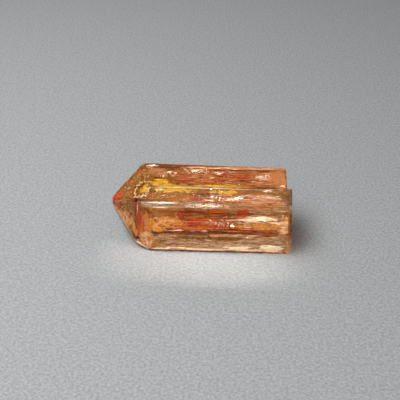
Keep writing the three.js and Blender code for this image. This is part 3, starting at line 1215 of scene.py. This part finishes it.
            ("back", (0.5, 0.5), 0.18, (8.8, 1.9)),
            ("rear", (0.5, 0.5), 0.18, (8.8, 1.9)),
            ("brokenEnd", (10.4, 0.0, 3.4), 0.25, (2.6, 2.4)),
        ],
    },
}

# Each row: face, place, depth, (half length, half width), spread in depth, count, size,
# tilt out of the face. Glints are tiny cleavage mirrors, tilted towards the light above.
specks = {
    "cream_speck": {
        "finish": "creamSpeck", "seed": 21,
        "rows": [
            ("pyramidFront", (-8.3, -2.6, 2.4), 0.14, (1.0, 1.4), 0.04, 130, 0.045, 0),
            ("rear", (0.5, 0.5), 0.16, (9.0, 1.7), 0.04, 260, 0.035, 0),
            ("back", (0.5, 0.5), 0.16, (9.0, 1.7), 0.04, 260, 0.035, 0),
            ("pyramidBack", (-8.3, 2.2, 3.8), 0.16, (1.7, 2.2), 0.04, 90, 0.035, 0),
            ("brokenEnd", (10.4, 0.0, 3.4), 0.3, (3.4, 2.6), 0.05, 160, 0.04, 0),
            ("pyramidTop", (-8.2, 0.4, 5.3), 0.15, (1.6, 2.8), 0.04, 90, 0.03, 0),
            ("pyramidFront", (-8.5, -2.0, 3.6), 0.15, (1.5, 2.0), 0.04, 160, 0.035, 0),
            ("under", (2.0, 0.5), 0.14, (9.0, 1.1), 0.03, 420, 0.035, 0),
            ("shoulder", (1.5, 0.5), 0.15, (8.0, 0.9), 0.04, 160, 0.03, 0),
            ("top", (-4.0, 0.42), 0.35, (1.2, 0.7), 0.1, 40, 0.04, 0),
            ("top", (-0.8, 0.24), 0.35, (1.5, 0.8), 0.1, 50, 0.04, 0),
            ("top", (7.4, 0.46), 0.3, (1.0, 0.6), 0.1, 40, 0.04, 0),
            ("top", (3.5, 0.3), 0.5, (5.0, 2.0), 0.2, 90, 0.03, 0),
            ("shoulder", (-0.6, 0.78), 0.3, (1.4, 0.5), 0.1, 70, 0.035, 0),
            ("shoulder", (6.0, 0.55), 0.3, (3.4, 0.7), 0.1, 80, 0.03, 0),
            ("crest", (0.8, 0.45), 0.2, (2.5, 0.3), 0.06, 90, 0.04, 0),
            ("front", (2.8, 0.60), 0.3, (2.4, 0.32), 0.1, 120, 0.035, 0),
            ("front", (7.0, 0.45), 0.3, (2.5, 0.6), 0.1, 90, 0.035, 0),
            ("front", (-3.8, 0.55), 0.3, (1.8, 0.6), 0.1, 70, 0.03, 0),
            ("under", (-3.8, 0.4), 0.3, (1.8, 1.0), 0.12, 60, 0.03, 0),
            ("collar", (-6.1, -3.7, 2.4), 0.2, (0.8, 1.9), 0.08, 90, 0.035, 0),
            ("pyramidFront", (-8.2, -2.6, 3.0), 0.3, (1.2, 1.6), 0.1, 50, 0.03, 0),
        ],
    },
    "russet_speck": {
        "finish": "russetSpeck", "seed": 22,
        "rows": [
            ("rear", (0.5, 0.5), 0.16, (9.0, 1.7), 0.04, 260, 0.04, 0),
            ("back", (0.5, 0.5), 0.16, (9.0, 1.7), 0.04, 260, 0.04, 0),
            ("pyramidBack", (-8.3, 2.2, 3.8), 0.16, (1.7, 2.2), 0.04, 110, 0.04, 0),
            ("brokenEnd", (10.4, 0.0, 3.4), 0.3, (3.4, 2.6), 0.05, 140, 0.045, 0),
            ("pyramidTop", (-8.2, 0.4, 5.3), 0.15, (1.6, 2.8), 0.04, 90, 0.035, 0),
            ("pyramidFront", (-8.5, -2.0, 3.6), 0.15, (1.5, 2.0), 0.04, 100, 0.035, 0),
            ("collar", (-6.1, -3.7, 2.4), 0.14, (0.8, 2.0), 0.04, 160, 0.05, 0),
            ("under", (2.0, 0.35), 0.14, (9.0, 0.8), 0.03, 260, 0.035, 0),
            ("shoulder", (1.5, 0.5), 0.15, (8.0, 0.9), 0.04, 240, 0.035, 0),
            ("shoulder", (-0.4, 0.66), 0.35, (1.6, 0.7), 0.12, 90, 0.045, 0),
            ("front", (0.0, 0.58), 0.45, (4.0, 0.8), 0.2, 220, 0.05, 0),
            ("top", (2.0, 0.45), 0.45, (4.5, 1.6), 0.15, 160, 0.045, 0),
            ("shoulder", (5.8, 0.4), 0.35, (2.6, 0.6), 0.1, 90, 0.04, 0),
            ("front", (6.5, 0.75), 0.4, (3.0, 0.4), 0.15, 90, 0.045, 0),
            ("under", (-3.8, 0.5), 0.35, (1.8, 1.0), 0.15, 50, 0.035, 0),
            ("pyramidTop", (-7.4, 1.0, 5.6), 0.3, (0.9, 1.8), 0.1, 60, 0.04, 0),
            ("collar", (-6.2, -3.6, 2.4), 0.25, (0.8, 2.0), 0.1, 120, 0.045, 0),
            ("top", (8.6, 0.35), 0.15, (1.3, 1.7), 0.04, 110, 0.05, 0),
        ],
    },
    "glint": {
        "finish": "cleavageGlint", "seed": 25,
        "rows": [
            ("top", (-4.2, 0.42), 0.3, (1.4, 0.9), 0.08, 50, 0.045, 12),
            ("top", (-0.6, 0.26), 0.3, (1.6, 0.8), 0.08, 40, 0.045, 12),
            ("top", (2.0, 0.32), 0.25, (0.6, 0.4), 0.05, 30, 0.05, 12),
            ("top", (7.4, 0.46), 0.3, (1.1, 0.7), 0.08, 40, 0.05, 12),
            ("top", (3.0, 0.4), 0.4, (6.0, 2.2), 0.1, 80, 0.035, 12),
            ("shoulder", (7.8, 0.12), 0.2, (0.8, 0.3), 0.05, 24, 0.045, 5),
            ("shoulder", (3.0, 0.66), 0.2, (1.6, 0.3), 0.05, 30, 0.05, 5),
            ("shoulder", (5.0, 0.6), 0.25, (4.5, 0.7), 0.06, 80, 0.035, 5),
            ("crest", (0.8, 0.45), 0.14, (2.6, 0.3), 0.03, 110, 0.045, -15),
            ("front", (3.0, 0.60), 0.25, (2.6, 0.4), 0.06, 50, 0.04, -30),
            ("front", (7.0, 0.38), 0.2, (2.0, 0.3), 0.05, 80, 0.04, -30),
            ("front", (-2.0, 0.5), 0.3, (3.4, 0.8), 0.08, 60, 0.035, -30),
            ("front", (9.2, 0.80), 0.12, (0.3, 0.12), 0.02, 12, 0.06, -30),
            ("pyramidTop", (-8.2, 0.4, 5.3), 0.15, (1.5, 2.6), 0.04, 40, 0.03, 0),
            ("collar", (-6.1, -3.7, 2.6), 0.2, (0.8, 2.0), 0.06, 50, 0.04, -30),
        ],
    },
}

# Each row: face, place, depth, (half length, half width), spread in depth, count, length,
# thickness, lean in degrees away from the growth axis.
needles = {
    "pale_needle": {
        "finish": "creamSpeck", "seed": 23,
        "rows": [
            # painted highlight lines along the shoulder, crest and top edges, where the edges catch
            # the lamps
            ("shoulder", (-4.3, 0.985), 0.10, (0.2, 0.02), 0.01, 4, 2.3, 0.075, 0.2),
            ("crest", (-4.6, 0.90), 0.12, (0.3, 0.03), 0.01, 2, 1.2, 0.028, 0.2),
            ("shoulder", (1.8, 0.01), 0.10, (0.3, 0.01), 0.004, 3, 8.0, 0.03, 0.05),
            ("front", (6.6, 0.4), 0.3, (3.0, 1.1), 0.08, 44, 1.3, 0.018, 0.7),
            ("shoulder", (5.0, 0.6), 0.3, (4.5, 0.6), 0.08, 36, 1.2, 0.018, 0.7),
            ("front", (-3.7, 0.9), 0.2, (1.6, 0.08), 0.04, 9, 0.7, 0.022, 0.7),
            ("front", (-0.8, 0.9), 0.2, (1.6, 0.08), 0.04, 9, 0.5, 0.022, 0.7),
            ("top", (3.0, 0.4), 0.3, (6.0, 2.2), 0.08, 60, 1.0, 0.018, 0.7),
            ("under", (3.0, 0.5), 0.3, (6.0, 0.9), 0.08, 34, 1.6, 0.02, 0.7),
            ("top", (-4.2, 0.36), 0.35, (1.3, 0.6), 0.08, 20, 0.36, 0.022, 28),
            ("top", (-0.6, 0.25), 0.35, (1.5, 0.7), 0.08, 20, 0.40, 0.022, 18),
            ("top", (7.2, 0.42), 0.3, (1.0, 0.5), 0.08, 18, 0.30, 0.022, 30),
        ],
    },
    "russet_needle": {
        "finish": "russetSpeck", "seed": 24,
        "rows": [
            ("front", (8.9, 0.86), 0.11, (0.6, 0.04), 0.01, 6, 0.6, 0.035, 0.5),
            ("front", (5.6, 0.84), 0.3, (3.4, 0.25), 0.08, 34, 1.6, 0.022, 0.7),
            ("front", (3.5, 0.35), 0.4, (4.0, 0.5), 0.1, 30, 1.2, 0.02, 0.7),
            ("top", (3.0, 0.45), 0.4, (5.0, 1.6), 0.1, 60, 1.2, 0.022, 0.7),
            ("shoulder", (5.0, 0.5), 0.4, (4.5, 0.8), 0.1, 30, 1.2, 0.018, 0.7),
            ("under", (2.4, 0.35), 0.3, (5.0, 0.4), 0.1, 30, 1.5, 0.02, 0.7),
        ],
    },
}


paleFloor = {
    "radius": 0.9,
    "segments": 96,
    "gap": 0.03 * mm,                 # keeps it clear of the plane of the resting face
    "grain": {"Grain": 3500.0, "Detail": 2.0, "Low": 0.3, "High": 0.7},
    "dark": (0.20, 0.205, 0.208),
    "pale": (0.305, 0.313, 0.316),
    "roughness": 0.8,
}


def buildFloor(pattern):
    material, tree, shader = newMaterial("paleFloor")
    mask = placeGroup(tree, pattern, paleFloor["grain"])["Mask"]
    feed(tree, shader.inputs, {
        "Base Color": mixColours(tree, mask, paleFloor["dark"], paleFloor["pale"]),
        "Roughness": paleFloor["roughness"]})
    bm = bmesh.new()
    bmesh.ops.create_circle(
        bm, cap_ends=True, segments=paleFloor["segments"], radius=paleFloor["radius"])
    bmesh.ops.translate(bm, vec=(0, 0, lowCorner.z - paleFloor["gap"]), verts=bm.verts[:])
    floor = addObject("floor", asMesh("floor", bm))
    floor.data.materials.append(material)
    print("floor laid")


# Lamps: place, aim and size in metres, power in watts, spread in degrees.
plainLamp = {"spread": 180, "colour": (1, 1, 1)}
softboxes = {
    "overhead": {
        "place": (-0.065, -0.023, 0.14), "aim": (0, -0.004, 0), "size": (0.11, 0.08),
        "power": 0.275},
    "backStrip": {
        "place": (0.0, 0.105, 0.125), "aim": (0, 0, 0.004), "size": (0.09, 0.040),
        "power": 0.015},
    "backLeft": {
        "place": (-0.075, 0.08, 0.13), "aim": (0, 0, 0), "size": (0.04, 0.04),
        "power": 0.05},
    "frontFill": {
        "place": (-0.02, -0.142, 0.122), "aim": (0.02, -0.06, 0), "size": (0.16, 0.09),
        "power": 0.051, "spread": 110},
    # stands in for the light that a clear crystal throws on the floor before it
    "floorGlow": {
        "place": (0.0, -0.024, 0.10), "aim": (0.0006, -0.0058, 0), "size": (0.019, 0.002),
        "power": 0.00043, "spread": 6.5, "colour": (1.0, 0.93, 0.87)},
}
sky = {
    "horizon": (0.168, 0.170, 0.173),
    "overhead": (0.46, 0.46, 0.455),
    "rise": {"From Min": 0.5, "From Max": 0.95},
}


def buildLights():
    for name, given in softboxes.items():
        box = {**plainLamp, **given}
        light = bpy.data.lights.new(name, "AREA")
        light.shape = "RECTANGLE"
        light.size, light.size_y = box["size"]
        light.energy = box["power"]
        light.color = box["colour"]
        light.spread = math.radians(box["spread"])
        lamp = addObject(name, light)
        lamp.location = box["place"]
        towards = Vector(box["aim"]) - Vector(box["place"])
        lamp.rotation_euler = towards.to_track_quat("-Z", "Y").to_euler()
    print(len(softboxes), "lamps placed")


def buildSky():
    # a dim room, lighter overhead than along the walls
    world = bpy.data.worlds.new("studio")
    scene.world = world
    world.use_nodes = True
    tree = world.node_tree
    towards = addNode(tree, "TexCoord").outputs["Generated"]
    height = addNode(tree, "SeparateXYZ", {"Vector": towards}).outputs["Z"]
    rise = addNode(tree, "MapRange", {"Value": height, **sky["rise"]})
    rise.interpolation_type = "SMOOTHSTEP"
    colour = mixColours(tree, rise.outputs["Result"], sky["horizon"], sky["overhead"])
    feed(tree, tree.nodes["Background"].inputs, {"Color": colour})
    print("sky made")


cameraStand = {
    "azimuth": 2.6,                   # degrees to the right of straight ahead
    "elevation": 32,
    "aim": (-0.13, 0.04, 4.35),
    "distance": 105.4,
    "lensAngle": 25,
    "clip": (0.005, 5),
}


def buildCamera():
    azimuth, elevation = [math.radians(cameraStand[name]) for name in ("azimuth", "elevation")]
    back = Vector((
        math.sin(azimuth) * math.cos(elevation),
        -math.cos(azimuth) * math.cos(elevation),
        math.sin(elevation)))
    camera = bpy.data.cameras.new("camera")
    camera.angle = math.radians(cameraStand["lensAngle"])
    camera.clip_start, camera.clip_end = cameraStand["clip"]
    eye = addObject("camera", camera)
    eye.location = Vector(cameraStand["aim"]) * mm + back * cameraStand["distance"] * mm
    eye.rotation_euler = back.to_track_quat("Z", "Y").to_euler()
    scene.camera = eye
    print("camera set")


crystal = buildCrystal()
crystal.data.materials.append(topazMaterial())
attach(crystal, "root")
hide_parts("topaz_crystal")

filmGroup, grainGroup = filmPattern(), grainPattern()
veil, flake, needle = veilTemplate(), flakeTemplate(), needleTemplate()
finishes = {
    name: speckMaterial(name, grainGroup, finish) for name, finish in speckFinishes.items()}
for name, look in stains.items():
    buildVeils(name, look["rows"], filmMaterial(name, filmGroup, look), veil)
buildShellCrack("shell_crack", filmMaterial("shellRimPaintedGlint", filmGroup, shellCrack["look"]))
for name, cloud in specks.items():
    buildFlakes(name, cloud["rows"], finishes[cloud["finish"]], cloud["seed"], flake)
for name, bundle in needles.items():
    buildNeedles(name, bundle["rows"], finishes[bundle["finish"]], bundle["seed"], needle)

buildFloor(grainGroup)
buildLights()
buildSky()
buildCamera()
blackLevel = 0.020
bounces = {
    "max_bounces": 32, "transmission_bounces": 32, "glossy_bounces": 24,
    "transparent_max_bounces": 48}
scene.view_settings.view_transform = "Standard"
scene.view_settings.use_curve_mapping = True
scene.view_settings.curve_mapping.black_level = (blackLevel,) * 3
for kind, most in bounces.items():
    setattr(scene.cycles, kind, most)
